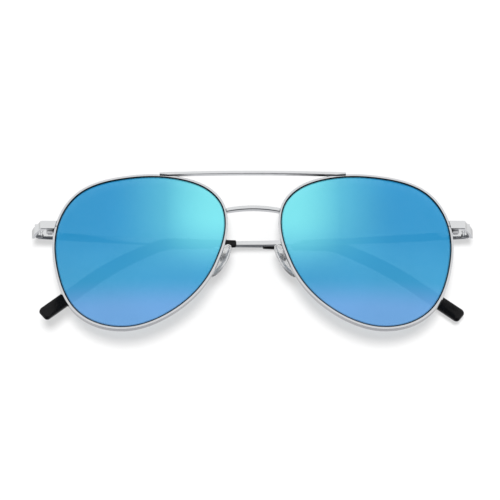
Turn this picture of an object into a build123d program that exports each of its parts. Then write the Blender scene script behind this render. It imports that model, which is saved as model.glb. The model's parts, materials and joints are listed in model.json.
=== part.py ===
from build123d import *
import os
from functools import cache
from math import degrees, radians, tan

# Aviator sunglasses with the temples folded, in millimetres.
# +X is the wearer's left, -Y the way the wearer looks, +Z up as worn.
# The origin is the middle of the bridge wire, on the plane that touches the lens fronts.
# Every paired piece is drawn for the wearer's left (+X) and mirrored for the right.

# Lens outline, seen from the front, as points of one closed spline
LENS_OUTLINE = [
    (12.4, -17.3), (19.0, -27.5), (28.4, -34.6), (40.7, -38.1), (55.8, -32.5), (62.45, -17.8),
    (62.45, -3.7), (56.3, 6.8), (40.7, 11.9), (24.7, 11.5), (11.2, 4.3), (9.2, -5.9),
]
OUTLINE_STEPS = 24           # points used to draw a grown copy of the outline
LENS_RADIUS = 120.0          # radius of the spherical lens front
LENS_CENTRE_X = 25.8         # the sphere's centre is nearer the nose than the lens: this is the wrap
LENS_CENTRE_Z = -13.2
LENS_THICKNESS = 2.0
LENS_BEVEL = 0.35            # ground edge outside the clear outline
TONGUE_GROW = 0.60           # how far the lens edge tongue reaches past the clear outline
TONGUE_FRONT, TONGUE_BACK = 0.65, 1.35

# Rim: a grooved wire round each lens
RIM_INNER_GROW = 0.38
RIM_OUTER_GROW = 1.03
GROOVE_GROW = 0.66
RIM_PROUD = 0.35             # how far the rim stands in front of the lens
RIM_BACK = 1.75
RIM_SPLIT = 0.20             # saw cut between the two rim lock blocks

# Top bar and bridge
TOP_BAR_HALF = 29.9
TOP_BAR_END_Z, TOP_BAR_MID_Z = 12.75, 13.30
TOP_BAR_HEIGHT, TOP_BAR_DEPTH, TOP_BAR_FRONT = 0.95, 2.0, 2.0
BRIDGE_HALF = 10.2
BRIDGE_END_Z, BRIDGE_MID_Z = -0.45, 0.80
BRIDGE_HEIGHT, BRIDGE_DEPTH, BRIDGE_FRONT = 1.25, 2.4, 1.0

# End pieces and hinges
HINGE_X, HINGE_Y, HINGE_Z = 68.7, 15.6, -1.8
PANTOSCOPIC = 8.0            # the hinge axes lean back at the top by this angle
LEFT_LEAN, RIGHT_LEAN = 0.92, -2.98   # sideways lean: the left temple folds below the right one
LEFT_FOLD, RIGHT_FOLD = 89.24, 80.74  # fold angle from straight back
END_PIECE_HEIGHT = 2.7
END_PIECE_Z = -2.75
PLATE_FRONT, PLATE_THICKNESS = 5.9, 1.6
PLATE_OUTER = 68.2
OUTER_FACE = 2.2             # hinge axis to the outer face of the temple
JOINT_GAP = 0.06
BARREL_RADIUS = 1.15
BARREL_HEIGHT = 3.4
BARREL_SLOT = 1.22           # room for the temple knuckle between the two front knuckles
KNUCKLE_HEIGHT = 1.12
LEAF_INNER, LEAF_OUTER = 0.45, 1.2
LEAF_LENGTH, FRONT_LEAF_LENGTH = 6.5, 3.6
SCREW_RADIUS = 0.55
SCREW_HOLE = 0.60
SCREW_HEAD_RADIUS, SCREW_HEAD_HEIGHT = 0.90, 0.45

# Rim locks: two blocks behind each end piece, held together by a screw
LOCK_X, LOCK_Y = 65.0, 8.75
LOCK_RADIUS = 1.15
LOCK_TOP, LOCK_SPLIT_Z, LOCK_BOTTOM = -1.9, -3.25, -4.85
LOCK_SCREW_RADIUS, LOCK_SCREW_HOLE = 0.45, 0.48
LOCK_HEAD_RADIUS, LOCK_HEAD_HEIGHT = 0.75, 0.40

# Temples: flat bar, core wire and sleeve share one centre line
BAR_THICKNESS = 1.0
BAR_HEIGHT, BAR_END_HEIGHT = 2.8, 1.4
SLEEVE_START = 74.0
CORE_HEIGHT, CORE_THICKNESS, CORE_END = 1.3, 0.9, 139.0
SPLAY = 5.0                  # outward angle of the bar at the hinge
STRAIGHT = 12.0              # length of flat bar before the bow starts
BOW_RADIUS = 541.0
HOOK_START = 93.5
HOOK_ARCS = [(15.6, 23.6), (92.0, 16.4)]   # radius and turn of the two arcs over the ear
TEMPLE_LENGTH = 145.3
SECTIONS = 16                # evenly spaced sections through each lofted rod
SLEEVE_HEIGHT, SLEEVE_HEIGHT_GAIN = 2.3, 2.2   # at the start, and what it gains towards the end
SLEEVE_WIDTH, SLEEVE_WIDTH_GAIN = 1.6, 1.0
SLEEVE_GROWTH = 2.5          # how early the sleeve swells
SLEEVE_ROUNDNESS, CORE_ROUNDNESS = 0.42, 0.30
CORE_LAP = 2.0               # the core wire starts inside the bar by this much
CORE_CLEARANCE = 0.05

# Nose pads
PAD_CENTRE = Vector(10.8, 10.0, -13.8)
PAD_LONG = Vector(0.55, 0.10, -0.83).normalized()
PAD_FACE_HINT = Vector(-0.80, 0.60, 0.0)
PAD_LENGTH, PAD_WIDTH, PAD_THICKNESS = 12.6, 7.2, 1.8
PAD_BACK = 1.6               # pad screw axis to the back of the pad
PAD_OFFSET = 2.0             # the screw sits this far above the middle of the pad
CORE_PLATE = (8.0, 3.2, 0.4)
CORE_PLATE_BACK = 2.2
STUD = (1.4, 1.2)
STUD_DEPTH = 0.55
BOX = (2.6, 2.4)
BOX_FRONT, BOX_BACK, BOX_WALL = 0.9, -1.1, 0.52
PAD_SCREW_RADIUS, PAD_SCREW_HOLE = 0.35, 0.40
PAD_HEAD_RADIUS, PAD_HEAD_HEIGHT = 0.60, 0.30
ARM_RADIUS = 0.45
ARM_ROOT = (10.95, 4.05, -14.9)
ARM_MIDDLE = (11.1, 5.6, -11.9)


def grown_outline(grow):
    """Points of the lens outline, each moved outwards along its own normal."""
    outline = Spline(*LENS_OUTLINE, periodic=True)
    points = []
    for step in range(OUTLINE_STEPS):
        point = outline @ (step / OUTLINE_STEPS)
        tangent = outline % (step / OUTLINE_STEPS)
        points.append((point.X + tangent.Y * grow, point.Y - tangent.X * grow))
    return points


@cache
def lens_shell(grow, front, back):
    """The space inside the grown lens outline, between two spherical depths."""
    points = grown_outline(grow)
    with BuildPart() as shell:
        with BuildSketch(Plane.XZ.offset(-20)):
            with BuildLine():
                Spline(*points, periodic=True)
            make_face()
        extrude(amount=30)
        with Locations((LENS_CENTRE_X, LENS_RADIUS, LENS_CENTRE_Z)):
            Sphere(LENS_RADIUS - front, mode=Mode.INTERSECT)
            Sphere(LENS_RADIUS - back, mode=Mode.SUBTRACT)
    return shell.part


def hinge_plane(lean, fold=0.0):
    """Hinge frame: x outward, y along the open temple, z up the axis, turned by the fold."""
    upright = Plane((HINGE_X, HINGE_Y, HINGE_Z), x_dir=(1, 0, 0), z_dir=(0, 0, 1))
    leaned = upright.rotated((-PANTOSCOPIC, 0, 0))
    axis = leaned.z_dir.rotate(Axis.Y, -lean)
    outward = leaned.x_dir.rotate(Axis.Y, -lean)
    turned = outward.rotate(Axis((0, 0, 0), axis), fold)
    return Plane(upright.origin, x_dir=turned, z_dir=axis)


def bow(along):
    """Sideways place of the temple's centre line at a distance behind the hinge."""
    start = OUTER_FACE - BAR_THICKNESS / 2
    bent = max(0.0, along - STRAIGHT)
    return start + along * tan(radians(SPLAY)) - bent ** 2 / (2 * BOW_RADIUS)


@cache
def centre_line():
    """Side view of the temple's centre line: x along the temple, y up."""
    with BuildLine() as line:
        piece = Line((0, 0), (HOOK_START, 0))
        for radius, turn in HOOK_ARCS:
            piece = JernArc(piece @ 1, piece % 1, radius=radius, arc_size=-turn)
        rest = TEMPLE_LENGTH - HOOK_START - sum(r * radians(t) for r, t in HOOK_ARCS)
        Line(piece @ 1, piece @ 1 + (piece % 1) * rest)
    return line.wires()[0]


def station_plane(plane, line, distance):
    """Section plane across the temple at a distance along its centre line."""
    point = line.position_at(distance, position_mode=PositionMode.LENGTH)
    slope = line.tangent_at(distance, position_mode=PositionMode.LENGTH)
    step = 0.01
    sideways = (bow(point.X + step) - bow(point.X)) / step
    heading = Vector(sideways * slope.X, slope.X, slope.Y).normalized()
    across = Vector(1, -sideways, 0).normalized()
    local = Plane((bow(point.X), point.X, point.Y), x_dir=across, z_dir=heading)
    return Plane(plane.location * local.location)


def temple_loft(plane, start, end, size, roundness):
    """Smooth rod along the temple's centre line; size gives width and height at a fraction."""
    line = centre_line()
    with BuildPart() as rod:
        for section in range(SECTIONS):
            fraction = section / (SECTIONS - 1)
            width, height = size(fraction)
            with BuildSketch(station_plane(plane, line, start + (end - start) * fraction)):
                RectangleRounded(width, height, roundness * min(width, height))
        loft()
    return rod.part


def core_wire(plane, clearance):
    """Core wire inside the sleeve, or the channel for it when given a clearance."""
    width = CORE_THICKNESS + 2 * clearance
    height = CORE_HEIGHT + 2 * clearance
    start, end = SLEEVE_START - CORE_LAP, CORE_END + clearance
    return temple_loft(plane, start, end, lambda fraction: (width, height), CORE_ROUNDNESS)


def sleeve_size(fraction):
    """Width and height of the sleeve at a fraction of its length."""
    swell = 1 - (1 - fraction) ** SLEEVE_GROWTH
    return SLEEVE_WIDTH + SLEEVE_WIDTH_GAIN * swell, SLEEVE_HEIGHT + SLEEVE_HEIGHT_GAIN * swell


@cache
def lens():
    """Curved lens with a bevelled edge and a tongue for the rim groove."""
    body = lens_shell(LENS_BEVEL, 0, LENS_THICKNESS)
    tongue = lens_shell(TONGUE_GROW, TONGUE_FRONT, TONGUE_BACK)
    with BuildPart() as piece:
        add(body)
        front_edges = piece.faces().sort_by(Axis.Y)[0].edges()
        chamfer(front_edges, LENS_BEVEL * 0.9)
        add(tongue)
    return piece


@cache
def rim():
    """Grooved rim, sawn through between the rim lock blocks."""
    wire = lens_shell(RIM_OUTER_GROW, -RIM_PROUD, RIM_BACK)
    opening = lens_shell(RIM_INNER_GROW, -2, 4)
    groove = lens_shell(GROOVE_GROW, TONGUE_FRONT - 0.05, TONGUE_BACK + 0.05)
    with BuildPart() as piece:
        add(wire)
        add(opening, mode=Mode.SUBTRACT)
        add(groove, mode=Mode.SUBTRACT)
        with Locations((LOCK_X, LOCK_Y, LOCK_SPLIT_Z)):
            Box(8, 12, RIM_SPLIT, mode=Mode.SUBTRACT)
    return piece


def filled_rim():
    """Everything inside the rim's outer wall, used to trim what is soldered to it."""
    return lens_shell(RIM_OUTER_GROW, -6, 12)


def arched_bar(half, end_z, mid_z, height, depth, front, rounding):
    """Flat bar arched upwards across the nose, its ends trimmed to both rims."""
    trim = filled_rim()
    with BuildPart() as piece:
        with BuildSketch(Plane.XZ.offset(-front)):
            with BuildLine():
                low = ThreePointArc((-half, end_z), (0, mid_z), (half, end_z))
                high = ThreePointArc((-half, end_z + height), (0, mid_z + height), (half, end_z + height))
                Line(low @ 0, high @ 0)
                Line(low @ 1, high @ 1)
            make_face()
        extrude(amount=-depth)
        fillet(piece.edges().filter_by(lambda edge: edge.length > half), rounding)
        add(trim, mode=Mode.SUBTRACT)
        add(mirror(trim, about=Plane.YZ, mode=Mode.PRIVATE), mode=Mode.SUBTRACT)
    return piece


@cache
def end_piece(lean):
    """Cheek that runs from the rim round to the hinge."""
    joint = hinge_plane(lean)
    hinge_outer = HINGE_X + OUTER_FACE + 0.1
    hinge_inner = HINGE_X + LEAF_OUTER
    back = PLATE_FRONT + PLATE_THICKNESS
    trim = filled_rim()
    with BuildPart() as piece:
        with BuildSketch(Plane.XY.offset(END_PIECE_Z - END_PIECE_HEIGHT / 2)):
            with BuildLine():
                Line((61.0, back), (61.0, PLATE_FRONT))
                front = Line((61.0, PLATE_FRONT), (PLATE_OUTER - 0.5, PLATE_FRONT))
                corner = JernArc(front @ 1, front % 1, radius=0.5, arc_size=78)
                outer = Spline(corner @ 1, (69.9, 11.0), (hinge_outer, HINGE_Y + 1),
                               tangents=[corner % 1, (0.02, 1)])
                end = Line(outer @ 1, (hinge_inner, HINGE_Y + 1))
                inner = Spline(end @ 1, (hinge_inner - 0.9, 10.8), (66.6, back),
                               tangents=[(0, -1), (-1, -0.25)])
                Line(inner @ 1, (61.0, back))
            make_face()
        extrude(amount=END_PIECE_HEIGHT)
        fillet(piece.edges().group_by(Axis.Z)[0], 0.18)
        fillet(piece.edges().group_by(Axis.Z)[-1], 0.18)
        with BuildSketch(Plane(joint.origin - joint.y_dir * JOINT_GAP, z_dir=joint.y_dir)):
            Rectangle(20, 20)
        extrude(amount=5, mode=Mode.SUBTRACT)
        add(trim, mode=Mode.SUBTRACT)
    return piece


def hinge_front(lean):
    """Front half of the hinge: two knuckles on a leaf inside the end piece."""
    joint = hinge_plane(lean)
    half = BARREL_HEIGHT / 2
    cheek = end_piece(lean).part
    with BuildPart() as piece:
        with BuildSketch(joint.offset(-half)):
            Circle(BARREL_RADIUS)
            with Locations(((LEAF_INNER + LEAF_OUTER) / 2, -BARREL_RADIUS)):
                Rectangle(LEAF_OUTER - LEAF_INNER, 2 * BARREL_RADIUS)
        extrude(amount=BARREL_HEIGHT)
        with BuildSketch(joint.offset(-BARREL_SLOT / 2)):
            Circle(BARREL_RADIUS + 0.18)
        extrude(amount=BARREL_SLOT, mode=Mode.SUBTRACT)
        with BuildSketch(joint.offset(-END_PIECE_HEIGHT * 0.36)):
            with Locations(((LEAF_INNER + LEAF_OUTER) / 2, -(FRONT_LEAF_LENGTH + 1.4) / 2)):
                Rectangle(LEAF_OUTER - LEAF_INNER, FRONT_LEAF_LENGTH - 1.4)
        extrude(amount=END_PIECE_HEIGHT * 0.72)
        with BuildSketch(joint.offset(-half)):
            Circle(SCREW_HOLE)
        extrude(amount=BARREL_HEIGHT, mode=Mode.SUBTRACT)
        with BuildSketch(joint.offset(half - SCREW_HEAD_HEIGHT)):
            Circle(SCREW_HEAD_RADIUS + 0.05)
        extrude(amount=SCREW_HEAD_HEIGHT, mode=Mode.SUBTRACT)
        add(cheek, mode=Mode.SUBTRACT)
    return piece


def hinge_rear(lean, fold):
    """Temple half of the hinge: one knuckle between the front ones, on its own leaf."""
    joint = hinge_plane(lean, fold)
    bar = temple_bar(lean, fold).part
    with BuildPart() as piece:
        with BuildSketch(joint.offset(-KNUCKLE_HEIGHT / 2)):
            Circle(BARREL_RADIUS)
            with Locations(((LEAF_INNER + LEAF_OUTER) / 2, BARREL_RADIUS)):
                Rectangle(LEAF_OUTER - LEAF_INNER, 2 * BARREL_RADIUS)
        extrude(amount=KNUCKLE_HEIGHT)
        with BuildSketch(joint.offset(-BAR_HEIGHT * 0.42)):
            with Locations(((LEAF_INNER + LEAF_OUTER) / 2, (LEAF_LENGTH + 1.5) / 2)):
                Rectangle(LEAF_OUTER - LEAF_INNER, LEAF_LENGTH - 1.5)
        extrude(amount=BAR_HEIGHT * 0.84)
        with BuildSketch(joint.offset(-KNUCKLE_HEIGHT / 2)):
            Circle(SCREW_HOLE)
        extrude(amount=KNUCKLE_HEIGHT, mode=Mode.SUBTRACT)
        add(bar, mode=Mode.SUBTRACT)
    return piece


def hinge_screw(lean):
    """Slotted hinge screw, dropped in from above."""
    joint = hinge_plane(lean)
    half = BARREL_HEIGHT / 2
    with BuildPart() as piece:
        with BuildSketch(joint.offset(-half - 0.2)):
            Circle(SCREW_RADIUS)
        extrude(amount=BARREL_HEIGHT)
        with BuildSketch(joint.offset(half - SCREW_HEAD_HEIGHT)):
            Circle(SCREW_HEAD_RADIUS)
        extrude(amount=SCREW_HEAD_HEIGHT)
        with BuildSketch(joint.offset(half)):
            Rectangle(3, 0.25)
        extrude(amount=-0.22, mode=Mode.SUBTRACT)
    return piece


def rim_lock(top, bottom, hole, head_depth):
    """One block of the rim lock, standing behind the end piece against the rim."""
    trim = filled_rim()
    with BuildPart() as piece:
        with BuildSketch(Plane.XY.offset(bottom)):
            with Locations((LOCK_X, LOCK_Y)):
                Circle(LOCK_RADIUS)
            with Locations((LOCK_X - 1.5, LOCK_Y - 0.1)):
                Rectangle(3.0, 1.8)
            with Locations((LOCK_X, PLATE_FRONT + PLATE_THICKNESS + 0.55)):
                Rectangle(1.8, 1.1)
        extrude(amount=top - bottom)
        with BuildSketch(Plane.XY.offset(bottom)):
            with Locations((LOCK_X, LOCK_Y)):
                Circle(hole)
        extrude(amount=top - bottom, mode=Mode.SUBTRACT)
        if head_depth:
            with BuildSketch(Plane.XY.offset(bottom)):
                with Locations((LOCK_X, LOCK_Y)):
                    Circle(LOCK_HEAD_RADIUS + 0.05)
            extrude(amount=head_depth, mode=Mode.SUBTRACT)
        add(trim, mode=Mode.SUBTRACT)
    return piece


def rim_lock_upper():
    """Upper block, soldered to the end piece."""
    return rim_lock(LOCK_TOP, LOCK_SPLIT_Z + RIM_SPLIT / 2, LOCK_SCREW_HOLE, 0)


def rim_lock_lower():
    """Lower block, pulled up against the upper one by the screw."""
    return rim_lock(LOCK_SPLIT_Z - RIM_SPLIT / 2, LOCK_BOTTOM, LOCK_SCREW_HOLE, LOCK_HEAD_HEIGHT)


def rim_lock_screw():
    """Slotted screw, put in from below."""
    with BuildPart() as piece:
        with BuildSketch(Plane.XY.offset(LOCK_BOTTOM)):
            with Locations((LOCK_X, LOCK_Y)):
                Circle(LOCK_SCREW_RADIUS)
        extrude(amount=LOCK_TOP - LOCK_BOTTOM)
        with BuildSketch(Plane.XY.offset(LOCK_BOTTOM)):
            with Locations((LOCK_X, LOCK_Y)):
                Circle(LOCK_HEAD_RADIUS)
        extrude(amount=LOCK_HEAD_HEIGHT)
        with BuildSketch(Plane.XY.offset(LOCK_BOTTOM)):
            with Locations((LOCK_X, LOCK_Y)):
                Rectangle(2, 0.22)
        extrude(amount=0.2, mode=Mode.SUBTRACT)
    return piece


@cache
def temple_bar(lean, fold):
    """Flat sprung bar, with the core wire that carries the sleeve."""
    joint = hinge_plane(lean, fold)
    side = Plane(joint.origin, x_dir=joint.y_dir, z_dir=joint.x_dir)
    arc_turn = degrees((SLEEVE_START - STRAIGHT) / BOW_RADIUS)
    wire = core_wire(joint, 0)
    with BuildPart() as piece:
        with BuildSketch(joint):
            with BuildLine():
                flat = Line((bow(0) + JOINT_GAP * tan(radians(SPLAY)), JOINT_GAP), (bow(STRAIGHT), STRAIGHT))
                JernArc(flat @ 1, flat % 1, radius=BOW_RADIUS, arc_size=arc_turn)
            trace(line_width=BAR_THICKNESS)
        extrude(amount=BAR_HEIGHT, both=True)
        with BuildSketch(side):
            Polygon((-2, BAR_HEIGHT / 2), (-2, -BAR_HEIGHT / 2), (SLEEVE_START + 1, -BAR_END_HEIGHT / 2),
                    (SLEEVE_START + 1, BAR_END_HEIGHT / 2), align=None)
        extrude(amount=20, both=True, mode=Mode.INTERSECT)
        fillet(piece.edges().filter_by(lambda edge: edge.length > STRAIGHT / 2), 0.2)
        add(wire)
    return piece


def temple_tip(lean, fold):
    """Black sleeve over the core wire, wider and bent down behind the ear."""
    joint = hinge_plane(lean, fold)
    outside = temple_loft(joint, SLEEVE_START, TEMPLE_LENGTH, sleeve_size, SLEEVE_ROUNDNESS)
    channel = core_wire(joint, CORE_CLEARANCE)
    bar = temple_bar(lean, fold).part
    with BuildPart() as piece:
        add(outside)
        add(channel, mode=Mode.SUBTRACT)
        add(bar, mode=Mode.SUBTRACT)
    return piece


def pad_plane():
    """Pad frame at the pad screw: x down the pad, z out of the pad's face towards the nose."""
    facing = (PAD_FACE_HINT - PAD_LONG * PAD_FACE_HINT.dot(PAD_LONG)).normalized()
    origin = PAD_CENTRE - PAD_LONG * PAD_OFFSET - facing * (PAD_BACK + PAD_THICKNESS / 2)
    return Plane(origin, x_dir=PAD_LONG, z_dir=facing)


@cache
def pad_core():
    """Metal plate moulded into the pad, with the stud that takes the screw."""
    frame = pad_plane()
    with BuildPart() as piece:
        with BuildSketch(frame.offset(CORE_PLATE_BACK)):
            with Locations((PAD_OFFSET, 0)):
                RectangleRounded(CORE_PLATE[0], CORE_PLATE[1], 1.4)
        extrude(amount=CORE_PLATE[2])
        with BuildSketch(frame.offset(-STUD_DEPTH)):
            Rectangle(*STUD)
        extrude(amount=CORE_PLATE_BACK + STUD_DEPTH)
        with BuildSketch(Plane(frame.origin, x_dir=frame.x_dir, z_dir=frame.y_dir)):
            Circle(PAD_SCREW_HOLE)
        extrude(amount=STUD[1], both=True, mode=Mode.SUBTRACT)
    return piece


def nose_pad():
    """Soft pad, drop shaped and rounded, moulded round its core."""
    frame = pad_plane()
    top = PAD_OFFSET - PAD_LENGTH / 2
    bottom = PAD_OFFSET + PAD_LENGTH / 2
    half = PAD_WIDTH / 2
    core = pad_core().part
    with BuildPart() as piece:
        with BuildSketch(frame.offset(PAD_BACK)):
            with BuildLine():
                Spline((top, 0), (top + 3.2, half * 0.80), (bottom - 4.6, half), (bottom, 0),
                       (bottom - 4.6, -half), (top + 3.2, -half * 0.80), periodic=True)
            make_face()
        extrude(amount=PAD_THICKNESS)
        fillet(piece.faces().filter_by(GeomType.PLANE).edges(), 0.6)
        add(core, mode=Mode.SUBTRACT)
    return piece


def pad_box():
    """Open channel at the end of the pad arm; its cheeks hold the pad screw."""
    frame = pad_plane()
    with BuildPart() as piece:
        with BuildSketch(frame.offset(BOX_BACK)):
            Rectangle(*BOX)
        extrude(amount=BOX_FRONT - BOX_BACK)
        with BuildSketch(frame.offset(BOX_BACK + 0.35)):
            Rectangle(BOX[0] + 1, BOX[1] - 2 * BOX_WALL)
        extrude(amount=BOX_FRONT - BOX_BACK, mode=Mode.SUBTRACT)
        with BuildSketch(Plane(frame.origin, x_dir=frame.x_dir, z_dir=frame.y_dir)):
            Circle(PAD_SCREW_RADIUS + 0.02)
        extrude(amount=BOX[1], both=True, mode=Mode.SUBTRACT)
    return piece


def pad_screw():
    """Small slotted screw across the pad box."""
    frame = pad_plane()
    half = BOX[1] / 2
    across = Plane(frame.origin, x_dir=frame.x_dir, z_dir=frame.y_dir)
    with BuildPart() as piece:
        with BuildSketch(across.offset(-half - 0.1)):
            Circle(PAD_SCREW_RADIUS)
        extrude(amount=BOX[1] + 0.1)
        with BuildSketch(across.offset(half)):
            Circle(PAD_HEAD_RADIUS)
        extrude(amount=PAD_HEAD_HEIGHT)
        with BuildSketch(across.offset(half + PAD_HEAD_HEIGHT)):
            Rectangle(2, 0.18)
        extrude(amount=-0.15, mode=Mode.SUBTRACT)
    return piece


def pad_arm():
    """Bent wire from the back of the rim to the pad box."""
    frame = pad_plane()
    end = frame.origin + frame.z_dir * BOX_BACK
    wire, glass = rim().part, lens().part
    with BuildPart() as piece:
        with BuildLine() as route:
            Spline(ARM_ROOT, ARM_MIDDLE, end, tangents=[(0, 1, 0), frame.z_dir])
        root = route.edges()[0]
        with BuildSketch(Plane(root @ 0, z_dir=root % 0)):
            Circle(ARM_RADIUS)
        sweep(path=root)
        add(wire, mode=Mode.SUBTRACT)
        add(glass, mode=Mode.SUBTRACT)
    return piece


def write(piece, name):
    """Label one piece and write it."""
    piece.part.label = name
    export_step(piece.part, f"parts/{name}.step")


def mirrored(piece):
    """The same piece on the wearer's right."""
    with BuildPart() as other:
        add(mirror(piece.part, about=Plane.YZ, mode=Mode.PRIVATE))
    return other


def write_pair(make, name, left=(), right=()):
    """Write a piece for both sides; the angles may differ from side to side."""
    write(make(*left), f"left_{name}")
    write(mirrored(make(*right)), f"right_{name}")


os.makedirs("parts", exist_ok=True)

write(arched_bar(TOP_BAR_HALF, TOP_BAR_END_Z, TOP_BAR_MID_Z,
                 TOP_BAR_HEIGHT, TOP_BAR_DEPTH, TOP_BAR_FRONT, 0.15), "top_bar")
write(arched_bar(BRIDGE_HALF, BRIDGE_END_Z, BRIDGE_MID_Z,
                 BRIDGE_HEIGHT, BRIDGE_DEPTH, BRIDGE_FRONT, 0.35), "bridge")
for maker in (lens, rim, rim_lock_upper, rim_lock_lower, rim_lock_screw,
              pad_arm, pad_box, pad_screw, pad_core, nose_pad):
    write_pair(maker, maker.__name__)
for maker in (end_piece, hinge_front, hinge_screw):
    write_pair(maker, maker.__name__, (LEFT_LEAN,), (RIGHT_LEAN,))
for maker in (hinge_rear, temple_bar, temple_tip):
    write_pair(maker, maker.__name__, (LEFT_LEAN, LEFT_FOLD), (RIGHT_LEAN, RIGHT_FOLD))
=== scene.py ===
import json
from math import cos, pi, radians, sin, tan

import bmesh
import bpy
import numpy as np
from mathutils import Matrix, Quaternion, Vector

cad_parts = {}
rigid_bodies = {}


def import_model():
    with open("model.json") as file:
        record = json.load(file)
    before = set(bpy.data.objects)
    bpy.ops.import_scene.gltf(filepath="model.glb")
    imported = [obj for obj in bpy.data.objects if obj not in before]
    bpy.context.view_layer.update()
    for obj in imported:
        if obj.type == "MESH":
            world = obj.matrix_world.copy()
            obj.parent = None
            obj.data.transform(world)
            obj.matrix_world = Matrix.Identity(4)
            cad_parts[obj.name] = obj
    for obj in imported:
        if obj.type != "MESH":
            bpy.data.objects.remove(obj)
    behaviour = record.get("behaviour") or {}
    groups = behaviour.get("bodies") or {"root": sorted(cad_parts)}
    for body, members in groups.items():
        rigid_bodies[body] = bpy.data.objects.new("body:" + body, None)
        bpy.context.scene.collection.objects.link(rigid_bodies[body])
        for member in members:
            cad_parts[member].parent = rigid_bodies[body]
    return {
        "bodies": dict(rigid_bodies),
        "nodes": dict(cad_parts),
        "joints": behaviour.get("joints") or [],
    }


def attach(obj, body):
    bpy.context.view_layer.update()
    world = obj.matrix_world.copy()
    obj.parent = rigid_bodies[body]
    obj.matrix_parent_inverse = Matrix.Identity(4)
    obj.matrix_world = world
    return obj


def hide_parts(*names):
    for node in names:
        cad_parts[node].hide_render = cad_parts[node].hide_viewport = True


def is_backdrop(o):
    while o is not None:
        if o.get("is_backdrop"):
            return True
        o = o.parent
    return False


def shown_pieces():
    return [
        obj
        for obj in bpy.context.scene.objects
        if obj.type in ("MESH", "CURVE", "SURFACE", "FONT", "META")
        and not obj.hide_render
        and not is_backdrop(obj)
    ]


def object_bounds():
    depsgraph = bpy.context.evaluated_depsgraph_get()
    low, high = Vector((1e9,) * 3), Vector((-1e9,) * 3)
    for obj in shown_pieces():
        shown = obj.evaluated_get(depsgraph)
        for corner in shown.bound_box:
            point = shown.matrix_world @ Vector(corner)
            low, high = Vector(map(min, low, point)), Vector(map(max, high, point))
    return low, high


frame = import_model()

cad_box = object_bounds()
nodes = frame["nodes"]
joints = {joint["name"]: joint for joint in frame["joints"]}
MM = 0.001
WHITE = (1.0, 1.0, 1.0, 1.0)

# The glasses are looked at from below the lens axis, with a long lens
AZIMUTH, ELEVATION, ROLL = -1.0, -20.0, -0.35
CAMERA_DISTANCE = 2.5
FRAME_WIDTH = 160 * MM
SENSOR = 36.0
AIM = Vector((-1.0, 5.0, -11.75)) * MM


# ---------------------------------------------------------------- node helpers

def material(name):
    """A new material and its empty node tree."""
    made = bpy.data.materials.new(name)
    made.use_nodes = True
    tree = made.node_tree
    tree.nodes.clear()
    return made, tree


def add(tree, kind, settings=None, inputs=None):
    """Add one node, set its properties and either link or set its inputs."""
    node = tree.nodes.new(kind)
    for key, value in (settings or {}).items():
        setattr(node, key, value)
    for key, value in (inputs or {}).items():
        if isinstance(value, bpy.types.NodeSocket):
            tree.links.new(value, node.inputs[key])
        else:
            node.inputs[key].default_value = value
    return node


def ramp(tree, factor, stops, interpolation="EASE"):
    """Colour ramp through (position, colour) stops."""
    node = add(tree, "ShaderNodeValToRGB", inputs={"Fac": factor})
    node.color_ramp.interpolation = interpolation
    elements = node.color_ramp.elements
    while len(elements) < len(stops):
        elements.new(0.5)
    for element, (position, colour) in zip(elements, stops):
        element.position = position
        element.color = (*colour, 1.0)
    return node.outputs["Color"]


def maths(tree, operation, a, b=0.0, c=0.0):
    """One maths node."""
    return add(tree, "ShaderNodeMath", {"operation": operation}, {0: a, 1: b, 2: c}).outputs[0]


def remap(tree, value, low, high, to_low=0.0, to_high=1.0):
    """Map a value smoothly from one range to another, clamped."""
    node = add(tree, "ShaderNodeMapRange", {"interpolation_type": "SMOOTHSTEP"}, {
        "Value": value, "From Min": low, "From Max": high, "To Min": to_low, "To Max": to_high})
    return node.outputs["Result"]


def mix_colour(tree, factor, a, b, blend="MIX"):
    """Blend two colours."""
    settings = {"data_type": "RGBA", "blend_type": blend}
    return add(tree, "ShaderNodeMix", settings, {0: factor, 6: a, 7: b}).outputs[2]


def dimmed(tree, colour, factor):
    """A colour multiplied by one factor."""
    grey = add(tree, "ShaderNodeCombineColor", inputs={0: factor, 1: factor, 2: factor})
    return mix_colour(tree, 1.0, colour, grey.outputs[0], "MULTIPLY")


def mix_shaders(tree, factor, a, b):
    """Blend two shader nodes."""
    return add(tree, "ShaderNodeMixShader", inputs={0: factor, 1: a.outputs[0], 2: b.outputs[0]})


def noise(tree, scale, detail=3.0, roughness=0.5, stretch=(1, 1, 1)):
    """Noise over the object's own coordinates; scale counts features per metre."""
    place = add(tree, "ShaderNodeTexCoord").outputs["Object"]
    mapped = add(tree, "ShaderNodeMapping", inputs={"Vector": place, "Scale": Vector(stretch)})
    node = add(tree, "ShaderNodeTexNoise", inputs={
        "Vector": mapped.outputs["Vector"], "Scale": scale, "Detail": detail, "Roughness": roughness})
    return node.outputs["Fac"]


def open_sky(tree, reach):
    """How open the surroundings are within a reach: 1 in the open, 0 in a crevice."""
    settings, inputs = {"samples": 8}, {"Distance": reach}
    return add(tree, "ShaderNodeAmbientOcclusion", settings, inputs).outputs["AO"]


def finish_surface(tree, shader):
    """Connect the last shader node to the output."""
    add(tree, "ShaderNodeOutputMaterial", inputs={"Surface": shader.outputs[0]})


def srgb(red, green, blue):
    """Screen colour (0 to 255) as the linear value Blender wants."""
    def one(value):
        value /= 255
        return value / 12.92 if value <= 0.04045 else ((value + 0.055) / 1.055) ** 2.4
    return (one(red), one(green), one(blue))


# ---------------------------------------------------------------- materials

CORNER_SHADE_REACH = 2.5 * MM     # shade is painted into the metal's colour in corners tighter than this
RIM_SHADE_REACH = 0.8 * MM   # shade is painted on a lens this close to its rim
SILVER_WEAR = 0.93           # the duller patches of the plating
SILICONE_IOR, LENS_IOR = 1.45, 1.5


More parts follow.
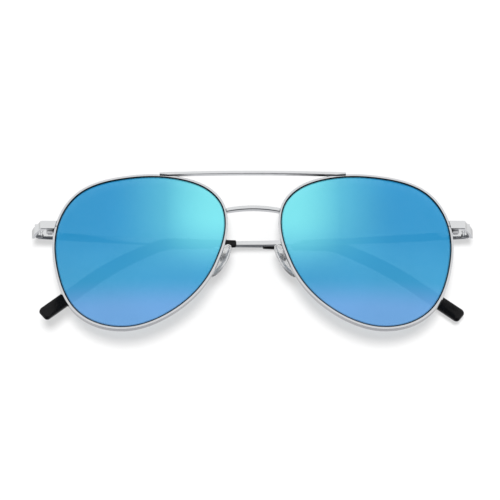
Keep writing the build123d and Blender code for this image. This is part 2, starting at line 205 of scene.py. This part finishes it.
def polished_metal(name, colour, rough_low, rough_high, edge, painted_shade_from=0.6):
    """Plated metal: dull patches, polishing haze, soft edges, and shade painted into its colour in
    corners and along silhouettes.
    """
    made, tree = material(name)
    haze = noise(tree, 260, 4, 0.6)
    scratch = noise(tree, 900, 2, 0.5, (1, 6, 1))
    patch = noise(tree, 60, 2)
    worn = [channel * SILVER_WEAR for channel in colour]
    tint = mix_colour(tree, patch, (*worn, 1), (*colour, 1))
    rough = remap(tree, haze, 0.3, 0.7, rough_low, rough_high)
    rounded = add(tree, "ShaderNodeBevel", {"samples": 6}, {"Radius": edge})
    # Painted shade: the colour darkens where the surface turns from view and in tight corners.
    if painted_shade_from:
        turned = add(tree, "ShaderNodeLayerWeight", inputs={"Blend": 0.5}).outputs["Facing"]
        edge_shade = remap(tree, turned, painted_shade_from, 0.93, 1.0, 0.22)
        crevice = remap(tree, open_sky(tree, CORNER_SHADE_REACH), 0.15, 0.75, 0.12, 1.0)
        tint = dimmed(tree, tint, maths(tree, "MULTIPLY", edge_shade, crevice))
    bump = add(tree, "ShaderNodeBump", inputs={
        "Strength": 0.06, "Distance": 0.02 * MM, "Height": scratch, "Normal": rounded.outputs[0]})
    finish_surface(tree, add(tree, "ShaderNodeBsdfPrincipled", inputs={
        "Base Color": tint, "Metallic": 1.0, "Roughness": rough, "Normal": bump.outputs[0]}))
    return made


def black_acetate(name):
    """Semi-gloss black sleeve with a fine orange-peel surface and rubbed spots."""
    made, tree = material(name)
    peel = noise(tree, 1400, 3, 0.55)
    rub = noise(tree, 180, 4, 0.6)
    tint = mix_colour(tree, rub, (0.002, 0.002, 0.0025, 1), (0.007, 0.007, 0.008, 1))
    rough = remap(tree, rub, 0.35, 0.7, 0.16, 0.30)
    bump = add(tree, "ShaderNodeBump", inputs={
        "Strength": 0.12, "Distance": 0.03 * MM, "Height": peel})
    finish_surface(tree, add(tree, "ShaderNodeBsdfPrincipled", inputs={
        "Base Color": tint, "Roughness": rough, "Specular IOR Level": 0.16,
        "Normal": bump.outputs[0]}))
    return made


def clear_silicone(name):
    """Soft clear silicone: see-through, a little milky, glossy, with grey shade painted where it turns
    away.
    """
    made, tree = material(name)
    cloud = noise(tree, 300, 3)
    normal = add(tree, "ShaderNodeBump", inputs={
        "Strength": 0.10, "Distance": 0.04 * MM, "Height": cloud}).outputs[0]
    turned = add(tree, "ShaderNodeLayerWeight", inputs={"Blend": 0.30, "Normal": normal})
    # Painted shade: the see-through and reflected colour turn grey where the surface turns from view.
    tint = ramp(tree, turned.outputs["Facing"], [
        (0.0, (0.99, 0.992, 0.994)), (0.66, (0.98, 0.982, 0.985)), (1.0, (0.60, 0.62, 0.64))])
    clear = add(tree, "ShaderNodeBsdfTransparent", inputs={"Color": tint})
    milk = add(tree, "ShaderNodeBsdfDiffuse", inputs={"Color": (0.96, 0.965, 0.97, 1)})
    skin = add(tree, "ShaderNodeBsdfGlossy", inputs={
        "Color": tint, "Roughness": 0.13, "Normal": normal})
    body = mix_shaders(tree, remap(tree, cloud, 0.3, 0.7, 0.08, 0.18), clear, milk)
    fresnel = add(tree, "ShaderNodeFresnel", inputs={"IOR": SILICONE_IOR, "Normal": normal})
    shine = remap(tree, fresnel.outputs[0], 0.03, 0.60, 0.50, 1.0)
    finish_surface(tree, mix_shaders(tree, shine, body, skin))
    return made


# The share of the ground's light that passes a mirror lens; the rest of a colour is the coating's
SEEN_THROUGH = (0.034, 0.062, 0.075)


def coating(red, green, blue):
    """The coating's own share of a screen colour seen over a white ground."""
    return tuple(max(0.0, c - t) for c, t in zip(srgb(red, green, blue), SEEN_THROUGH))


CYAN = coating(133, 235, 245)
SKY = coating(99, 193, 223)
BLUE = coating(69, 158, 209)
MIDDLE = coating(80, 167, 213)
VIOLET = coating(117, 172, 227)
# Painted shade: the near-black blue that the lens colour turns to beside its rim
PAINTED_RIM_SHADE = srgb(4, 36, 56)

# Where the coating changes colour: distance from the nose, then height
NOSE_SIDE, OUTER_SIDE = 12 * MM, 48 * MM
MIDDLE_FROM, MIDDLE_TO = -1 * MM, -24 * MM
VIOLET_FROM, VIOLET_TO = -22 * MM, -33 * MM


def coating_colour(tree):
    """Mirror colour: cyan towards the nose and top, blue outwards, violet blue below."""
    place = add(tree, "ShaderNodeTexCoord").outputs["Object"]
    axes = add(tree, "ShaderNodeSeparateXYZ", inputs={"Vector": place})
    out, up = maths(tree, "ABSOLUTE", axes.outputs["X"]), axes.outputs["Z"]
    across = remap(tree, out, NOSE_SIDE, OUTER_SIDE)
    upper = ramp(tree, across, [(0.0, CYAN), (0.42, SKY), (1.0, BLUE)], "LINEAR")
    middle = mix_colour(tree, remap(tree, up, MIDDLE_FROM, MIDDLE_TO), upper, (*MIDDLE, 1))
    colour = mix_colour(tree, remap(tree, up, VIOLET_FROM, VIOLET_TO), middle, (*VIOLET, 1))
    return dimmed(tree, colour, remap(tree, noise(tree, 28, 2), 0.3, 0.7, 0.96, 1.04))


def mirror_front(name):
    """Mirror coating: reflects in its own colour, with shade painted in beside the rim, and lets a
    little tinted light through.
    """
    made, tree = material(name)
    shade = remap(tree, open_sky(tree, RIM_SHADE_REACH), 0.84, 0.97)
    colour = mix_colour(tree, shade, (*PAINTED_RIM_SHADE, 1), coating_colour(tree))
    rough = remap(tree, noise(tree, 120, 3), 0.35, 0.75, 0.03, 0.07)
    gloss = add(tree, "ShaderNodeBsdfGlossy", inputs={"Color": colour, "Roughness": rough})
    through = add(tree, "ShaderNodeBsdfTransparent", inputs={"Color": (*SEEN_THROUGH, 1)})
    outside = add(tree, "ShaderNodeAddShader", inputs={0: gloss.outputs[0], 1: through.outputs[0]})
    inside = add(tree, "ShaderNodeBsdfTransparent", inputs={"Color": (0.22, 0.27, 0.31, 1)})
    behind = add(tree, "ShaderNodeNewGeometry").outputs["Backfacing"]
    finish_surface(tree, mix_shaders(tree, behind, outside, inside))
    return made


def tinted_back(name):
    """Inner face of the lens: dark tint under a weak clear reflection."""
    made, tree = material(name)
    rough = remap(tree, noise(tree, 150, 3), 0.35, 0.75, 0.02, 0.06)
    facing = add(tree, "ShaderNodeFresnel", inputs={"IOR": LENS_IOR}).outputs[0]
    gloss = add(tree, "ShaderNodeBsdfGlossy", inputs={
        "Color": (0.75, 0.82, 0.9, 1), "Roughness": rough})
    tint = add(tree, "ShaderNodeBsdfTransparent", inputs={"Color": (0.55, 0.60, 0.64, 1)})
    clear = add(tree, "ShaderNodeBsdfTransparent", inputs={"Color": WHITE})
    within = add(tree, "ShaderNodeNewGeometry").outputs["Backfacing"]
    finish_surface(tree, mix_shaders(tree, within, mix_shaders(tree, facing, tint, gloss), clear))
    return made


def ground_edge(name):
    """Ground lens edge in a dark blue tint, painted almost black as the shade in the groove beside the
    rim.
    """
    made, tree = material(name)
    tint = mix_colour(tree, noise(tree, 1500, 2), (*srgb(2, 22, 38), 1), (*srgb(8, 40, 58), 1))
    finish_surface(tree, add(tree, "ShaderNodeBsdfPrincipled", inputs={
        "Base Color": tint, "Roughness": 0.6, "Specular IOR Level": 0.08}))
    return made


METAL = polished_metal("polished_silver", (0.73, 0.74, 0.75), 0.05, 0.14, 0.16 * MM)
# The rim silver is a darker copy of the same plating, painted darker for the rims' darker reflections,
# with its painted edge shade starting sooner.
RIM = polished_metal("rim_silver", (0.66, 0.67, 0.69), 0.06, 0.15, 0.12 * MM, painted_shade_from=0.45)
STEEL = polished_metal("turned_steel", (0.62, 0.63, 0.65), 0.22, 0.36, 0.05 * MM)
INSERT = polished_metal("satin_insert", (0.93, 0.93, 0.93), 0.42, 0.55, 0.05 * MM, painted_shade_from=None)
BLACK = black_acetate("black_acetate")
SILICONE = clear_silicone("clear_silicone")
MIRROR = mirror_front("mirror_coating")
LENS_BACK = tinted_back("lens_inner_face")
LENS_EDGE = ground_edge("lens_ground_edge")

# Faces this square to the view from front or back belong to a lens's front or back
LENS_FACE_STEEPNESS = 0.85


def paint(obj, *materials):
    """Replace an object's materials."""
    obj.data.materials.clear()
    for one in materials:
        obj.data.materials.append(one)


def paint_lens(obj):
    """Front, back and ground edge of a lens each get their own material."""
    paint(obj, MIRROR, LENS_BACK, LENS_EDGE)
    for face in obj.data.polygons:
        if face.normal.y < -LENS_FACE_STEEPNESS:
            face.material_index = 0
        elif face.normal.y > LENS_FACE_STEEPNESS:
            face.material_index = 1
        else:
            face.material_index = 2


FINISHES = {
    "temple_tip": BLACK, "nose_pad": SILICONE, "pad_core": INSERT, "pad_box": INSERT,
    "screw": STEEL, "_rim": RIM}

for name, obj in nodes.items():
    if name.endswith("lens"):
        paint_lens(obj)
    else:
        matches = [made for ending, made in FINISHES.items() if name.endswith(ending)]
        paint(obj, *(matches or [METAL]))


# ---------------------------------------------------------------- own meshes

def object_from(shape, name):
    """Turn a bmesh into an object in the scene."""
    mesh = bpy.data.meshes.new(name)
    shape.to_mesh(mesh)
    shape.free()
    obj = bpy.data.objects.new(name, mesh)
    bpy.context.scene.collection.objects.link(obj)
    return obj


def tube(name, rings, made, body, node):
    """Smooth closed skin over a list of rings of points; it stands in for one CAD node."""
    shape = bmesh.new()
    rows = [[shape.verts.new(point) for point in ring] for ring in rings]
    for a, b in zip(rows, rows[1:]):
        for i in range(len(a)):
            j = (i + 1) % len(a)
            shape.faces.new((a[i], a[j], b[j], b[i]))
    shape.faces.new(rows[0])
    shape.faces.new(rows[-1])
    bmesh.ops.recalc_face_normals(shape, faces=shape.faces)
    for face in shape.faces:
        face.smooth = True
    obj = object_from(shape, name)
    paint(obj, made)
    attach(obj, body)
    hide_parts(node)


def rounded_rectangle(count, power):
    """Points of a rounded rectangle of half size 1; power 2 is an ellipse."""
    def bulge(value):
        return abs(value) ** (2 / power) * (1 if value > 0 else -1)
    angles = [2 * pi * (step + 0.5) / count for step in range(count)]
    return [(bulge(cos(angle)), bulge(sin(angle))) for angle in angles]


# The temple's centre line, in millimetres along the open temple from its hinge axis.
# In top view it leaves at SPLAY degrees and bows inwards; in side view it bends down behind
# the ear through HOOK_ARCS, each a radius and an angle in degrees.
SPLAY, STRAIGHT, BOW_RADIUS, AXIS_TO_MIDDLE = 5.0, 12.0, 541.0, 1.7
SLEEVE_START, HOOK_START, TEMPLE_LENGTH = 74.0, 93.5, 145.3
HOOK_ARCS = [(15.6, 23.6), (92.0, 16.4)]

# The sleeve's width and height where it starts, and how much each has gained at its end
SLEEVE_SIZE, SLEEVE_GAIN = (1.6, 2.3), (1.0, 2.2)
SWELL_POWER = 2.5
SECTION_POINTS, SECTION_SQUARENESS = 40, 3.4
END_ROUNDING, END_NARROWING = 1.5, 0.75
START_ROUNDING, START_NARROWING = 0.3, 0.25
SLOPE_STEP = 0.01


def temple_frame(name, side):
    """Hinge place and the folded temple's sideways, lengthwise and upward directions."""
    joint = joints[name]
    place, axis = Vector(joint["pos_m"]), Vector(joint["axis"])
    if side < 0:
        place.x, axis.x = -place.x, -axis.x
    up = axis if axis.z > 0 else -axis
    outward = Vector((up.z, 0, -up.x)).normalized()
    sideways = Quaternion(up, radians(joint["range_deg"][1])) @ outward
    return place, sideways, up.cross(sideways), up


def hook(distance):
    """Place and heading of the centre line in side view: along, up, angle."""
    along, up, angle, left = min(distance, HOOK_START), 0.0, 0.0, distance - HOOK_START
    for radius, turn in HOOK_ARCS:
        step = max(0.0, min(left / radius, radians(turn)))
        along += radius * (sin(angle + step) - sin(angle))
        up -= radius * (cos(angle) - cos(angle + step))
        angle += step
        left -= radius * radians(turn)
    left = max(0.0, left)
    return along + left * cos(angle), up - left * sin(angle), angle


def bow(along):
    """Sideways place of the centre line in top view."""
    curved = max(0.0, along - STRAIGHT)
    return AXIS_TO_MIDDLE + along * tan(radians(SPLAY)) - curved ** 2 / (2 * BOW_RADIUS)


def sleeve_stations():
    """Distances of the sleeve's rings, close together where its ends are rounded."""
    start = [SLEEVE_START + START_NARROWING * (1 - cos(pi / 2 * k / 4)) for k in range(4)]
    last = TEMPLE_LENGTH - END_ROUNDING
    middle = list(np.linspace(SLEEVE_START + START_ROUNDING, last, 90))
    end = [TEMPLE_LENGTH - END_ROUNDING * (1 - sin(pi / 2 * k / 8)) for k in range(1, 9)]
    return start + middle + end


def quarter_round(share):
    """Depth of a quarter circle: 0 where the rounding begins and 1 at its end."""
    return 1 - max(0.0, 1 - share ** 2) ** 0.5


def sleeve_half_size(distance):
    """Half width and half height of the sleeve at a distance."""
    left = 1 - (distance - SLEEVE_START) / (TEMPLE_LENGTH - SLEEVE_START)
    swell = 1 - left ** SWELL_POWER
    near_end = max(0.0, 1 - (TEMPLE_LENGTH - distance) / END_ROUNDING)
    near_start = max(0.0, 1 - (distance - SLEEVE_START) / START_ROUNDING)
    cut = START_NARROWING * quarter_round(near_start)
    if near_end:
        cut = END_ROUNDING * END_NARROWING * quarter_round(near_end)
    return [max(0.1, (size + gain * swell) / 2 - cut)
            for size, gain in zip(SLEEVE_SIZE, SLEEVE_GAIN)]


def sleeve(side_name, side):
    """Black sleeve with a softly rounded end."""
    place, sideways, lengthwise, up = temple_frame(side_name + "_temple_fold", side)
    section = rounded_rectangle(SECTION_POINTS, SECTION_SQUARENESS)
    rings = []
    for distance in sleeve_stations():
        along, height, angle = hook(distance)
        slope = (bow(along + SLOPE_STEP) - bow(along)) / SLOPE_STEP
        across = Vector((1, -slope, 0)).normalized()
        heading = Vector((slope * cos(angle), cos(angle), -sin(angle))).normalized()
        above = across.cross(heading)
        half_width, half_height = sleeve_half_size(distance)
        centre = Vector((bow(along), along, height))
        ring = []
        for a, b in section:
            local = centre + across * (a * half_width) + above * (b * half_height)
            point = place + (sideways * local.x + lengthwise * local.y + up * local.z) * MM
            ring.append((point.x * side, point.y, point.z))
        rings.append(ring)
    tube(side_name + "_sleeve", rings, BLACK,
         side_name + "_temple", side_name + "_temple_tip")


# The nose pad: crown and back profiles, how much wider its lower end is, and how much it bends
CROWN_POWER, BACK_POWER, PAD_STEPS, PAD_POINTS = 0.75, 0.35, 12, 48
PAD_DROP, PAD_DROP_LIMIT, PAD_BEND = 0.16, 1.02, 0.10


def pad_axes(cloud, joint):
    """Down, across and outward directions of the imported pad, from its points and its joint."""
    across = Vector(joint["axis"]).normalized()
    spread = np.linalg.svd(cloud - cloud.mean(0), full_matrices=False)[2][0]
    down = Vector([float(c) for c in spread])
    down = (down - across * down.dot(across)).normalized()
    if down.z > 0:
        down = -down
    out = across.cross(down)
    centre = Vector([float(c) for c in (cloud.max(0) + cloud.min(0)) / 2])
    if out.dot(centre - Vector(joint["pos_m"])) < 0:
        out = -out
    return down, across, out


def pad(side_name):
    """Crowned drop-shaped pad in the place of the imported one."""
    cloud = np.array([tuple(v.co) for v in nodes[side_name + "_nose_pad"].data.vertices])
    axes = pad_axes(cloud, joints[side_name + "_pad_rock"])
    reaches = [cloud @ np.array(axis) for axis in axes]
    spans = [(float(reach.min()), float(reach.max())) for reach in reaches]
    middle = sum((axis * ((low + high) / 2) for (low, high), axis in zip(spans, axes)), Vector())
    half_length, half_width, half_height = [(high - low) / 2 for low, high in spans]
    quarter = [pi / 2 * k / PAD_STEPS for k in range(1, PAD_STEPS + 1)]
    crown = [(sin(turn), cos(turn) ** CROWN_POWER) for turn in quarter]
    back = [(sin(turn), -cos(turn) ** BACK_POWER) for turn in reversed(quarter[:-1])]
    down, across, out = axes
    rings = []
    for reach, height in crown + back:
        ring = []
        for step in range(PAD_POINTS):
            angle = 2 * pi * step / PAD_POINTS
            along = cos(angle)
            width = sin(angle) * (1 + PAD_DROP * along) / PAD_DROP_LIMIT
            lift = (height - PAD_BEND * along * along) * half_height
            ring.append(middle + down * (along * reach * half_length)
                        + across * (width * reach * half_width) + out * lift)
        rings.append(ring)
    tube(side_name + "_soft_pad", rings, SILICONE,
         side_name + "_pad", side_name + "_nose_pad")


for side_name, side in (("left", 1), ("right", -1)):
    sleeve(side_name, side)
    pad(side_name)


# ---------------------------------------------------------------- stage

FLOOR_SIZE, TABLE_SIZE = 6.0, 3.0
FLOOR_GAP, FLOOR_DROP = 0.3 * MM, 12 * MM
TABLE_GAP, TABLE_DROP = 0.6 * MM, 0.3
TABLE_GLOW, TABLE_DULL = 0.50, 0.16
HORIZON = 0.1
AMBIENT = (0.85, 0.85, 0.86, 1)


def view_frame(azimuth, elevation):
    """Direction from the subject to the camera."""
    a, e = radians(azimuth), radians(elevation)
    return Vector((sin(a) * cos(e), -cos(a) * cos(e), sin(e)))


def make_camera():
    """Long lens at the viewing angle."""
    back = view_frame(AZIMUTH, ELEVATION)
    data = bpy.data.cameras.new("camera")
    data.sensor_width = SENSOR
    data.lens = SENSOR * CAMERA_DISTANCE / FRAME_WIDTH
    data.clip_start, data.clip_end = 0.01, 20
    camera = bpy.data.objects.new("camera", data)
    camera.location = AIM + back * CAMERA_DISTANCE
    camera.rotation_mode = "QUATERNION"
    level = (-back).to_track_quat("-Z", "Y")
    camera.rotation_quaternion = level @ Quaternion((0, 0, 1), radians(ROLL))
    bpy.context.scene.collection.objects.link(camera)
    bpy.context.scene.camera = camera


def plane_object(name, size, made):
    """Level square plane through the origin."""
    shape = bmesh.new()
    bmesh.ops.create_grid(shape, x_segments=1, y_segments=1, size=size / 2)
    obj = object_from(shape, name)
    obj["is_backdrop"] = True
    paint(obj, made)
    return obj


def make_way(plane, rest, drop):
    """Hold a plane at its rest height, and lower it when the temples swing open."""
    driver = plane.driver_add("location", 2).driver
    for label, body in (("left", "left_temple"), ("right", "right_temple")):
        variable = driver.variables.new()
        variable.name = label
        variable.type = "TRANSFORMS"
        variable.targets[0].id = frame["bodies"][body]
        variable.targets[0].transform_type = "ROT_Z"
        variable.targets[0].transform_space = "WORLD_SPACE"
    driver.type = "SCRIPTED"
    driver.expression = f"{rest} - {drop} * min(1, 4 * (abs(left) + abs(right)))"


def make_floor():
    """Pale floor under the glasses, seen from above only."""
    made, tree = material("pale_floor")
    fibre = remap(tree, noise(tree, 400, 3), 0.3, 0.7, 0.985, 1.0)
    colour = mix_colour(tree, fibre, (0.90, 0.90, 0.90, 1), (0.93, 0.93, 0.93, 1))
    paper = add(tree, "ShaderNodeBsdfDiffuse", inputs={"Color": colour})
    clear = add(tree, "ShaderNodeBsdfTransparent")
    below = add(tree, "ShaderNodeNewGeometry").outputs["Backfacing"]
    finish_surface(tree, mix_shaders(tree, below, paper, clear))
    floor = plane_object("floor", FLOOR_SIZE, made)
    floor.visible_glossy = False
    floor.visible_shadow = False
    make_way(floor, cad_box[0].z - FLOOR_GAP, FLOOR_DROP)


def make_table():
    """The pale surface the folded glasses lie on, seen only from below the horizon."""
    made, tree = material("pale_table")
    geometry = add(tree, "ShaderNodeNewGeometry")
    towards = add(tree, "ShaderNodeSeparateXYZ", inputs={"Vector": geometry.outputs["Incoming"]})
    from_below = maths(tree, "LESS_THAN", towards.outputs["Z"], -HORIZON)
    path = add(tree, "ShaderNodeLightPath").outputs
    looked_at = maths(tree, "MAXIMUM", path["Is Camera Ray"], path["Is Transmission Ray"])
    glow = add(tree, "ShaderNodeEmission", inputs={"Color": WHITE, "Strength": TABLE_GLOW})
    dull = add(tree, "ShaderNodeBsdfDiffuse", inputs={"Color": (*[TABLE_DULL] * 3, 1)})
    lit = add(tree, "ShaderNodeAddShader", inputs={0: dull.outputs[0], 1: glow.outputs[0]})
    clear = add(tree, "ShaderNodeBsdfTransparent")
    finish_surface(tree, mix_shaders(tree, maths(tree, "MULTIPLY", from_below, looked_at), clear, lit))
    back = view_frame(AZIMUTH, ELEVATION)
    deepest = max((-back).dot(v.co) for obj in nodes.values() for v in obj.data.vertices)
    holder = bpy.data.objects.new("table_holder", None)
    holder.rotation_mode = "QUATERNION"
    holder.rotation_quaternion = back.to_track_quat("Z", "Y")
    bpy.context.scene.collection.objects.link(holder)
    table = plane_object("table", TABLE_SIZE, made)
    table.parent = holder
    make_way(table, -(deepest + TABLE_GAP), TABLE_DROP)
    return table


def sun(name, towards, strength, angle):
    """A soft distant light from a direction."""
    data = bpy.data.lights.new(name, "SUN")
    data.energy = strength
    data.angle = radians(angle)
    obj = bpy.data.objects.new(name, data)
    obj.rotation_mode = "QUATERNION"
    obj.rotation_quaternion = towards.to_track_quat("Z", "Y")
    obj.visible_glossy = False
    bpy.context.scene.collection.objects.link(obj)
    return obj


def keep_to(light, receiver, blockers):
    """Let a light reach one object only, shaded by chosen blockers."""
    receivers = bpy.data.collections.new(light.name + "_receivers")
    receivers.objects.link(receiver)
    light.light_linking.receiver_collection = receivers
    casting = bpy.data.collections.new(light.name + "_blockers")
    for blocker in blockers:
        casting.objects.link(blocker)
    light.light_linking.blocker_collection = casting


def make_world():
    """White studio; only mirror reflections see its darker underside."""
    world = bpy.data.worlds.new("studio")
    world.use_nodes = True
    tree = world.node_tree
    tree.nodes.clear()
    path = add(tree, "ShaderNodeLightPath").outputs
    place = add(tree, "ShaderNodeTexCoord").outputs["Generated"]
    axes = add(tree, "ShaderNodeSeparateXYZ", inputs={"Vector": place})
    height = maths(tree, "MULTIPLY_ADD", axes.outputs["Z"], 0.5, 0.5)
    reflected = ramp(tree, height, [
        (0.00, (0.03, 0.03, 0.035)), (0.16, (0.05, 0.05, 0.06)), (0.24, (0.35, 0.36, 0.38)),
        (0.32, (0.76, 0.76, 0.78)), (0.46, (1.0, 1.0, 1.0)), (0.90, (1.0, 1.0, 1.0)),
        (1.00, (0.80, 0.80, 0.82))])
    soft = mix_colour(tree, path["Is Glossy Ray"], AMBIENT, reflected)
    seen = mix_colour(tree, path["Is Camera Ray"], soft, WHITE)
    background = add(tree, "ShaderNodeBackground", inputs={"Color": seen, "Strength": 1.0})
    add(tree, "ShaderNodeOutputWorld", inputs={"Surface": background.outputs[0]})
    bpy.context.scene.world = world


make_camera()
make_world()
make_floor()

# The bar and bridge throw no shadow on the table, so the gap between the lenses stays pale
casters = [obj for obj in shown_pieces() if obj.name not in ("top_bar", "bridge")]
drop_shadow = sun("drop_shadow", view_frame(AZIMUTH, ELEVATION + 6), 8.0, 6)
keep_to(drop_shadow, make_table(), casters)
sun("top_light", Vector((-0.25, -0.55, 1.0)).normalized(), 1.0, 30)
bpy.context.scene.view_settings.view_transform = "Standard"
